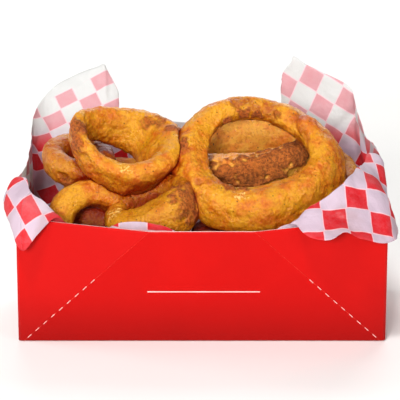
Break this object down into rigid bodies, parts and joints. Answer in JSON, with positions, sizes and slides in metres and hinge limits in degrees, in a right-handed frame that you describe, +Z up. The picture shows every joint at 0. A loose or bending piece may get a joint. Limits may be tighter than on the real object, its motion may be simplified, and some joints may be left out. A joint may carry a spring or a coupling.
{
  "type": "onion rings side",
  "caption": "Battered onion rings piled in a red folded paperboard tray lined with red and white chequered deli paper.",
  "frame": {"origin": "middle of the tray's underside, on the surface it stands on", "axes": "+X along the tray's long side, +Y from the long front panel to the back panel, +Z up"},
  "size_m": [0.2403, 0.1743, 0.158],
  "materials": {
    "board": "satin red coat over white board",
    "paper": "greaseproof sheet printed with red and white checks",
    "batter": "golden fried batter, uneven, slightly oily"
  },
  "bodies": {
    "root": {"tray": "board", "paper_liner": "paper", "ring_front_right": "batter", "ring_front_left": "batter", "ring_back_right": "batter", "ring_right_end": "batter", "ring_small_left": "batter", "ring_arch_left": "batter", "ring_front_middle": "batter", "ring_middle_left": "batter", "ring_under_right": "batter", "ring_third_right": "batter", "ring_third_left": "batter", "ring_second_right": "batter", "ring_second_left": "batter", "ring_first_right": "batter", "ring_first_middle": "batter", "ring_first_left": "batter"}
  },
  "joints": []
}
